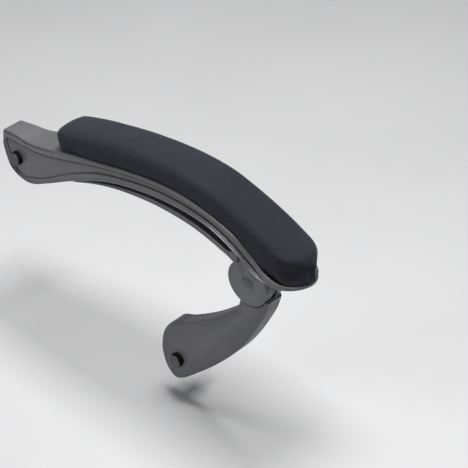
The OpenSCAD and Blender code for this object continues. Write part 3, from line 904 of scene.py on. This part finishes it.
def knuckle_cover(side, name, node):
    """side is -1 for the outer cover and 1 for the inner one."""
    face, back = side * 14.5, side * 7.5
    x0, z0 = KNUCKLE
    disc = solid(turned(KNUCKLE, rounded(KNUCKLE_R, face, back, 1.1, 6), 120), name)
    neck = [(x0 - 8, z0 + 8), (345, 33), (349, 37), (372, 34), (377, 28), (x0 + 14, z0 + 8)]
    foot = back + side * 0.5
    lip = side * 4.4
    ring = turned(KNUCKLE, [(24.3, foot), (24.3, lip), (27.3, lip), (27.7, lip + side * 0.4),
                            (27.7, foot), (24.3, foot)], 120)
    block = Shape()
    for y in (0, side * 7.45):
        for x, z in ((310, z0 + 4), (410, z0 + 4), (410, 60), (310, 60)):
            block.add(x, y, z)
    block.faces = [(0, 1, 2, 3), (7, 6, 5, 4), (0, 4, 5, 1), (1, 5, 6, 2), (2, 6, 7, 3), (3, 7, 4, 0)]
    neck_piece = slab(neck, [(0, back), (0, face - side * 0.8), (0.25, face - side * 0.2), (0.8, face)])
    boolean(disc, [neck_piece, boolean(ring, [block])], "UNION")
    if side < 0:
        cutter = turned(KNUCKLE, [(0, -20), (9.0, -20), (9.0, -11.9), (8.2, -11.9), (8.2, -7), (0, -7)], 96)
    else:
        cutter = turned(KNUCKLE, [(0, 12.6), (8.2, 12.6), (8.2, 7), (0, 7)], 72)
    boolean(disc, [cutter])
    return finish(disc, "upper_arm", "knuckle_plastic", [node])


knuckle_cover(-1, "knuckle_cover_outer_moulding", "knuckle_cover_outer")
knuckle_cover(1, "knuckle_cover_inner_moulding", "knuckle_cover_inner")
plug = [(0, -15.9), (0.45, -15.95), (0.8, -16.35), (1.15, -16.68), (1.6, -16.7), (2.5, -16.66),
        (3.8, -16.5), (5, -16.26), (6.2, -15.95), (7.4, -15.5), (8.2, -15.05), (8.9, -14.8),
        (9.25, -14.62), (9.35, -14.53), (8.9, -14.5), (8.9, -12), (0, -12)]
finish(solid(turned(KNUCKLE, plug, 96), "knuckle_plug"), "upper_arm", "knuckle_plastic", ["knuckle_cap"])

# -------- link

LINK_HALF_W = 13.5
LINK_EDGE = 3.4
SOCKET_R = KNUCKLE_R + 0.9
link_outline = np.vstack([spread(smooth(LINK, 6), np.linspace(0, 1, 150)),
                          [(378, -9), (357, -3), (347, -22)]])


def link_shell(side, name, node):
    """One half of the link's housing; side is -1 for the outer half and 1 for the inner one."""
    flat = LINK_HALF_W - 0.55
    levels = [(0.45, 0.06), (0.1, 0.16), (0, 0.5), (0, flat - LINK_EDGE)]
    for k in range(1, 8):
        a = math.radians(90 * k / 8)
        levels.append((LINK_EDGE * (1 - math.cos(a)), flat - LINK_EDGE * (1 - math.sin(a))))
    levels += [(LINK_EDGE + 0.2, LINK_HALF_W - 0.53), (4.8, LINK_HALF_W - 0.3), (6.5, LINK_HALF_W)]
    ob = solid(slab(link_outline, [(d, side * y) for d, y in levels]), name)
    disc_room = turned(KNUCKLE, [(0, -20), (SOCKET_R + 2.5, -20), (SOCKET_R + 2.5, 20), (0, 20)], 120)
    boolean(ob, [boolean(slab(link_outline, [(3, -side * 1), (3, side * 10.6)]), [disc_room])])
    post = [(0, 0.06), (11, 0.06), (11, 12), (0, 12)]
    boolean(ob, [turned(SEAT, [(r, side * y) for r, y in post], 64)], "UNION")
    socket = [(0, -2), (SOCKET_R, -2), (SOCKET_R, 12.6), (SOCKET_R + 0.25, 13.1), (SOCKET_R + 1.0, 14),
              (SOCKET_R + 1.0, 16), (0, 16)]
    cutters = [turned(KNUCKLE, [(r, side * y) for r, y in socket], 160)]
    if side < 0:
        seat_hole = [(0, -20), (9.8, -20), (9.5, -13.9), (9, -13.2), (8.75, -12.7), (8.75, -12.2),
                     (9.5, -11.9), (9.5, -10), (8, -10), (8, 1), (0, 1)]
    else:
        seat_hole = [(0, 20), (8.9, 20), (8.5, 13.8), (8.1, 13.1), (8, 12.6), (8, -1), (0, -1)]
        screw_hole = [(0, 20), (4.2, 20), (3.9, 13.8), (3.6, 13.2), (3.6, 10.9), (0, 10.9)]
        cutters += [turned(p, screw_hole, 40) for p in LINK_SCREWS]
    boolean(ob, cutters + [turned(SEAT, seat_hole, 96)])
    return finish(ob, "link", "link_plastic", [node])


link_shell(-1, "link_outer_moulding", "link_outer_shell")
link_shell(1, "link_inner_moulding", "link_inner_shell")

# -------- bolted ends

PITCH = 1.25
THREAD_R = 3.95
THREAD_DEPTH = 0.62


def bolt_shape(pivot):
    """A shoulder bolt along +Y: socket head, plain shoulder, and a thread with a chamfered tip."""
    s = Shape()
    x0, z0 = pivot
    sides = 36
    head = [(0, -14.5), (2.9, -14.5), (3.3, -18.2), (3.7, -18.5), (5.9, -18.5), (6.3, -18.3), (6.5, -17.9),
            (6.5, -11.6), (6.4, -11.5), (5, -11.5), (5, 34.3), (4.8, 34.6), (3.4, 34.6)]
    rows = []
    for r, y in head:
        rows.append([s.add(x0 + u, y, z0 + v) for u, v in circle(r, sides)])
    y0, y1 = 34.7, 53.0
    count = int((y1 - y0) / (PITCH / 10))
    for n in range(count + 1):
        y = y0 + (y1 - y0) * n / count
        cap = THREAD_R - max(0.0, y - (y1 - 0.8))
        row = []
        for k in range(sides):
            phase = ((y / PITCH) - k / sides) % 1
            crest = min(1.0, max(0.0, 1.35 - 2.4 * abs(phase - 0.5)))
            run = min(1.0, (y - y0) / 1.0)
            r = min(cap, THREAD_R - THREAD_DEPTH * (1 - crest) * run)
            a = 2 * math.pi * k / sides
            row.append(s.add(x0 + r * math.cos(a), y, z0 + r * math.sin(a)))
        rows.append(row)
    rows.append([s.add(x0, y1, z0)] * sides)
    s.grid(rows, loop=True)
    return s


def bolted_end(prefix, pivot, body, spacer_y):
    """A chair bolt with the cap over its head, and the spacer between the arm or link and the chair."""
    bolt = solid(bolt_shape(pivot), prefix + "_shoulder_bolt")
    finish(bolt, body, "black_steel", [prefix + "_bolt"], 45)
    cap = [(0, -20.3), (4.5, -20.32), (6.6, -20.4), (7.3, -20.42), (7.75, -20.3), (8.02, -20.0),
           (8.15, -19.6), (8.2, -19.2), (8.2, -11.6), (8.1, -11.5), (6.6, -11.5), (6.55, -18.7), (0, -18.7)]
    cap_ob = solid(turned(pivot, cap, 96), prefix + "_cap_moulding")
    finish(cap_ob, body, "cap_plastic", [prefix + "_bolt_cap"])
    spacer = [(5.0, spacer_y), (5.0, 35), (9.9, 35), (10.6, 34.8), (10.93, 34.4), (11, 34), (11, 30.4),
              (10.6, 30), (10.6, spacer_y + 5), (11, spacer_y + 4.6), (11, spacer_y + 0.8),
              (10.8, spacer_y + 0.25), (10.3, spacer_y), (5.0, spacer_y)]
    spacer_ob = solid(turned(pivot, spacer, 96), prefix + "_spacer_moulding")
    finish(spacer_ob, body, "spacer_plastic", [prefix + "_spacer"])


bolted_end("backrest", BACKREST, "backrest_fixing", 15.2)
bolted_end("seat", SEAT, "seat_fixing", 13.8)

# -------- pad

PAD_REAR = 75.5
PAD_NOSE = 435.6
LEAN_END = 112.0
LEAN = 8.0
SHOULDER = 7.0
CROWN = 1.3
REAR_ROUND = 7.0
SEAM_DEPTH = 0.75
PAD_LIFT = 3.4
HEM_INSET = 1.5
FOAM_IN = 1.8
FOAM_IN_AT_NOSE = 4.5
BOARD_X = (86, 427)
BOARD_THICK = 3.6


def pad_low(x):
    """The cover's underside: on the shell, and lifted a little at the nose where a gap shows."""
    return top_z(x) + 0.05 + 1.3 * nose_gap(x)


def hem_in(x):
    """How far the cover's hem lies in from its sides, clear of the shell's edge and of the nose's gap."""
    flush = pad_half(x) - (half_width(x) - 0.9)
    inset = max(0.0, flush) + HEM_INSET
    return inset * float(np.interp(x, [80, 95, 404, 418], [0, 1, 1, 0])) + 0.6 * nose_gap(x)


def pad_half_ring(w, low, high, hem):
    """Half a cross-section, from the middle of the underside out, up the side, over the seam to the top."""
    soft = min(SHOULDER, 0.7 * w, 0.42 * (high - low))
    edge = high - CROWN * min(1.0, w / 20) - soft
    tuck = min(1.0, 0.3 * w)
    foot = w - hem
    out = [(0, low), (0.4 * foot, low), (0.75 * foot, low), (foot - 0.9 * tuck, low),
           (foot - 0.25 * tuck, low + 0.12), (foot - 0.1 * tuck, low + 0.7)]
    out += [(w - (0.1 * tuck + hem) * (1 - k) ** 3, low + 0.7 + (edge - low - 1.8) * k)
            for k in (0.09, 0.2, 0.32, 0.45, 0.58, 0.71, 0.85, 1.0)]
    out += [(w - SEAM_DEPTH * tuck, edge), (w - 0.1 * tuck, edge + 1.1)]
    for k in range(1, 6):
        a = math.radians(18 * k)
        out.append((w - soft * (1 - math.cos(a)), edge + soft * math.sin(a) + 0.2 * math.cos(a)))
    out += [((w - soft) * k, high - CROWN * min(1.0, w / 20) * k * k) for k in (0.75, 0.5, 0.25, 0)]
    return out


def pad_rings(swell):
    xs = np.concatenate([PAD_REAR + 8 * (1 - np.cos(np.radians(np.linspace(0, 90, 9)))),
                         np.arange(87, 402, 4.0),
                         402 + (PAD_NOSE - 402) * np.sin(np.radians(np.linspace(0, 88.5, 26)))])
    rings = []
    for x in xs:
        w = max(1.0, pad_half(x) - swell)
        low = float(pad_low(x))
        back = max(0.0, REAR_ROUND - (x - PAD_REAR))
        high = float(pad_z(max(x, 78))) + PAD_LIFT - swell
        high -= REAR_ROUND - math.sqrt(REAR_ROUND ** 2 - back ** 2)
        high = max(high, low + 3)
        half = pad_half_ring(w, low, high, min(hem_in(x), 0.3 * w))
        ring = half + [(-y, z) for y, z in reversed(half[1:-1])]
        out = []
        for y, z in ring:
            up = (z - low) / (high - low)
            lean = LEAN * (1 - up) * max(0.0, (LEAN_END - x) / (LEAN_END - PAD_REAR)) ** 1.2
            shift = float(top_z(x + lean) - top_z(x)) * (1 - up)
            out.append((x + lean, y, z + shift))
        rings.append(out)
    first = np.array(rings[0])
    middle = first.mean(axis=0)
    for share, out in ((0.93, 0.6), (0.72, 1.2), (0.4, 1.6)):
        ring = middle + (first - middle) * share
        ring[:, 0] -= out
        rings.insert(0, [tuple(q) for q in ring])
    return rings


def pad_start(swell):
    s = Shape()
    made = s.points_grid(pad_rings(swell), loop=True)
    s.faces += [tuple(made[0]), tuple(reversed(made[-1]))]
    return solid(s, "pad_cover_sewn")


def simulate(ob, pressure, most, frames=20):
    """Cloth blown up from inside and held where it is tacked to the board."""
    start = points_of(ob.data)
    x, z = start[:, 0] / MM, start[:, 2] / MM
    held = ob.vertex_groups.new(name="held")
    for i in np.nonzero(z < pad_low(x) + 1.3)[0]:
        held.add([int(i)], 1.0, "REPLACE")
    c = ob.modifiers.new("cloth", "CLOTH")
    c.settings.vertex_group_mass = "held"
    c.settings.use_pressure = True
    c.settings.uniform_pressure_force = pressure
    c.settings.quality = 6
    c.settings.mass = 0.25
    c.settings.tension_stiffness = c.settings.compression_stiffness = 22
    c.settings.shear_stiffness = 12
    c.settings.bending_stiffness = 0.6
    c.settings.effector_weights.gravity = 0
    c.collision_settings.use_collision = False
    scene = bpy.context.scene
    for f in range(1, frames + 1):
        scene.frame_set(f)
    baked(ob)
    scene.frame_set(1)
    move = points_of(ob.data) - start
    far = np.linalg.norm(move, axis=1)
    move *= np.minimum(1, most * MM / np.maximum(far, 1e-9))[:, None]
    print("cloth moved up to", round(float(far.max()) / MM, 2), "mm")
    move_to(ob.data, start + move)
    ob.vertex_groups.clear()
    return ob


def finer(ob):
    m = ob.modifiers.new("fine", "SUBSURF")
    m.levels = m.render_levels = 1
    return baked(ob)


SWELL = 0.7
pad = pad_start(SWELL)
simulate(pad, 4.0, 2.5)
finer(pad)

# The fold at each side of the nose, on the wall of the cover: (distance ahead, height) in millimetres.
FOLD_RIDGE = np.array([(402, 55), (404, 50), (407, 44.5), (413, 38), (419, 33.5), (427, 32.5), (433, 34)])
FOLD_CENTRE = (424.0, 43.0)
FOLD_DEPTH = 3.8


def fold(x, y, z, side):
    """How far each point belongs to the gathered ridge, and to the facet above and ahead of it."""
    dense = smooth(FOLD_RIDGE, 8)
    near = np.stack([x, z], 1)[:, None, :] - dense[None, :, :]
    dist = np.sqrt((near ** 2).sum(axis=2))
    k = np.argmin(dist, axis=1)
    every = np.arange(len(x))
    gap, rel = dist[every, k], near[every, k]
    along = dense[np.minimum(k + 1, len(dense) - 1)] - dense[np.maximum(k - 1, 0)]
    inner = along[:, 0] * rel[:, 1] - along[:, 1] * rel[:, 0] > 0
    on_side = np.clip(side * 2 - 1, 0, 1) * np.clip((np.abs(y) - 7) / 7, 0, 1) * (x > 395)
    ends = np.clip(np.minimum(k / 8, (len(dense) - 1 - k) / 20), 0, 1)
    ridge = np.exp(-((gap - 1.0) / 1.5) ** 2) * ends * ~inner
    facet = np.exp(-((x - FOLD_CENTRE[0]) / 9.0) ** 2 - ((z - FOLD_CENTRE[1]) / 10.0) ** 2)
    facet *= np.where(inner, 1 - np.exp(-(gap / 1.0) ** 2), 0)
    return ridge * on_side, facet * on_side


def sew(ob):
    """Presses the drawn hem and the folded corners of the nose into the simulated cloth."""
    me = ob.data
    co = points_of(me) / MM
    co[:, 1] -= MID_Y
    normals = normals_of(me)
    x, y, z = co[:, 0], co[:, 1], co[:, 2]
    low = pad_low(x)
    side = np.hypot(normals[:, 1], normals[:, 0])
    # soft waves where the cloth is drawn down over the board's edge
    run = x + 0.35 * y
    wave = 0.4 * np.sin(run / 9.5) + 0.3 * np.sin(run / 4.3 + 1.2) + 0.25 * np.sin(run / 23 + 0.4)
    draw = np.exp(-((z - low - 5) / 5.0) ** 2) * np.clip(side * 1.4 - 0.4, 0, 1)
    move = normals * (wave * draw * 0.6)[:, None]
    # slow slackness of the top
    slack = 0.35 * np.sin(x / 31 + 0.8) * np.cos(y / 17 + 0.5) + 0.2 * np.sin(x / 13 - y / 9)
    move += normals * (slack * np.clip(normals[:, 2], 0, 1))[:, None]
    # folded corners: a ridge of gathered cloth with a pressed-in facet above and ahead of it
    ridge, facet = fold(x, y, z, side)
    move += normals * (0.8 * ridge - FOLD_DEPTH * facet)[:, None]
    co += move
    co[:, 2] = np.maximum(co[:, 2], top_z(co[:, 0]) + 0.2)
    co[:, 1] += MID_Y
    move_to(me, co * MM)


core_mesh = pad.data.copy()
sew(pad)


def cloth_map(ob):
    """Gives the cloth its thread directions: along the arm, and across it down both sides."""
    me = ob.data
    spine = np.stack([pad_top_c[:, 0], pad_top_c[:, 1]], 1)
    spine = np.vstack([spine, [(436, 34), (437, 24)]])
    run = lengths(spine)
    co = points_of(me) / MM
    co[:, 1] -= MID_Y
    side_view = co[:, [0, 2]]
    away = side_view[:, None, :] - spine[None, :, :]
    order = np.argmin(np.hypot(away[:, :, 0], away[:, :, 1]), axis=1)
    a = spine[order]
    t = spine[np.minimum(order + 1, len(spine) - 1)] - spine[np.maximum(order - 1, 0)]
    t /= np.linalg.norm(t, axis=1)[:, None]
    rel = side_view - a
    u = run[order] + np.sum(rel * t, axis=1)
    drop = rel[:, 0] * t[:, 1] - rel[:, 1] * t[:, 0]
    v = np.abs(co[:, 1]) + np.maximum(drop, 0)
    v *= np.where(co[:, 1] < 0, -1, 1)
    layer = me.uv_layers.new(name="cloth")
    loops = np.zeros(len(me.loops), np.int32)
    me.loops.foreach_get("vertex_index", loops)
    layer.data.foreach_set("uv", (np.stack([u[loops], v[loops]], 1) * MM).astype(np.float32).ravel())


cloth_map(pad)
finish(pad, "upper_arm", "cloth", ["pad_cover"], 60)


def foam_piece(me):
    """The foam lies inside the cloth, and further in round the nose, where the cloth is folded."""
    co = points_of(me)
    normals = normals_of(me)
    at_nose = np.clip((co[:, 0] / MM - 398) / 20, 0, 1)
    on_wall = np.clip(1.2 - np.abs(normals[:, 2]), 0, 1)
    inward = FOAM_IN + FOAM_IN_AT_NOSE * at_nose * on_wall
    move_to(me, co - normals * inward[:, None] * MM)
    return thing("pad_foam_block", me)


def board_half(x):
    return pad_half(x) - 2.6 - 0.8 * hem_in(x)


core = foam_piece(core_mesh)
finish(core, "upper_arm", "foam", ["pad_foam"], 60)
board = bar(stations(*BOARD_X, 4.0, 1.5), above(pad_low, 0.5), above(pad_low, 0.5 + BOARD_THICK),
            board_half, 0.4, (1.5, 1.5))
finish(solid(board, "pad_board_slab"), "upper_arm", "board", ["pad_board"])

# -------- floor, light and camera

# Here the measures are in metres, as Blender has them
CENTRE = (0.2, -0.035, 0.0)
FLOOR_Z = -0.232
FLOOR_HALF = 6.0
floor = Shape()
for way_x, way_y in ((-1, -1), (1, -1), (1, 1), (-1, 1)):
    floor.add(way_x * FLOOR_HALF / MM, way_y * FLOOR_HALF / MM, FLOOR_Z / MM)
floor.faces = [(0, 1, 2, 3)]
floor_ob = solid(floor, "floor")
paper = Look("floor_paper")
paper.colour(paper.mix(paper.spread(paper.noise(3), 0.3, 0.7), (0.54, 0.54, 0.545), (0.57, 0.57, 0.575)))
paper.put(Roughness=0.9, Specular_IOR_Level=0.1)
floor_ob.data.materials.append(paper.material)


def lamp(name, at, size, power):
    """A rectangular lamp aimed at the middle of the armrest."""
    data = bpy.data.lights.new(name, "AREA")
    data.shape, data.size, data.size_y = "RECTANGLE", size[0], size[1]
    data.energy = power
    ob = bpy.data.objects.new(name, data)
    bpy.context.scene.collection.objects.link(ob)
    ob.location = at
    ob.rotation_euler = (Vector(CENTRE) - Vector(at)).to_track_quat("-Z", "Y").to_euler()


lamp("over", (0.45, -0.05, 1.65), (0.9, 0.6), 48)
lamp("behind", (-1.0, 1.3, 1.35), (1.8, 1.2), 4)
lamp("side", (-0.3, -1.6, 0.7), (1.0, 0.8), 6.5)

world = bpy.data.worlds.new("studio")
world.use_nodes = True
world.node_tree.nodes["Background"].inputs[0].default_value = (0.95, 0.97, 1.0, 1)
world.node_tree.nodes["Background"].inputs[1].default_value = 0.12
bpy.context.scene.world = world
bpy.context.scene.view_settings.view_transform = "Standard"

AIM = Vector((0.3254, -0.035, 0.0387))
AZIMUTH, ELEVATION, DISTANCE = math.radians(42.0), math.radians(35.5), 2.129
camera_data = bpy.data.cameras.new("camera")
camera_data.lens = 153.85
camera_data.sensor_width = 36.0
camera = bpy.data.objects.new("camera", camera_data)
bpy.context.scene.collection.objects.link(camera)
back = Vector((math.sin(AZIMUTH) * math.cos(ELEVATION), -math.cos(AZIMUTH) * math.cos(ELEVATION),
               math.sin(ELEVATION)))
camera.location = AIM + back * DISTANCE
camera.rotation_euler = (-back).to_track_quat("-Z", "Y").to_euler()
camera_data.clip_start, camera_data.clip_end = 0.05, 60.0
bpy.context.scene.camera = camera
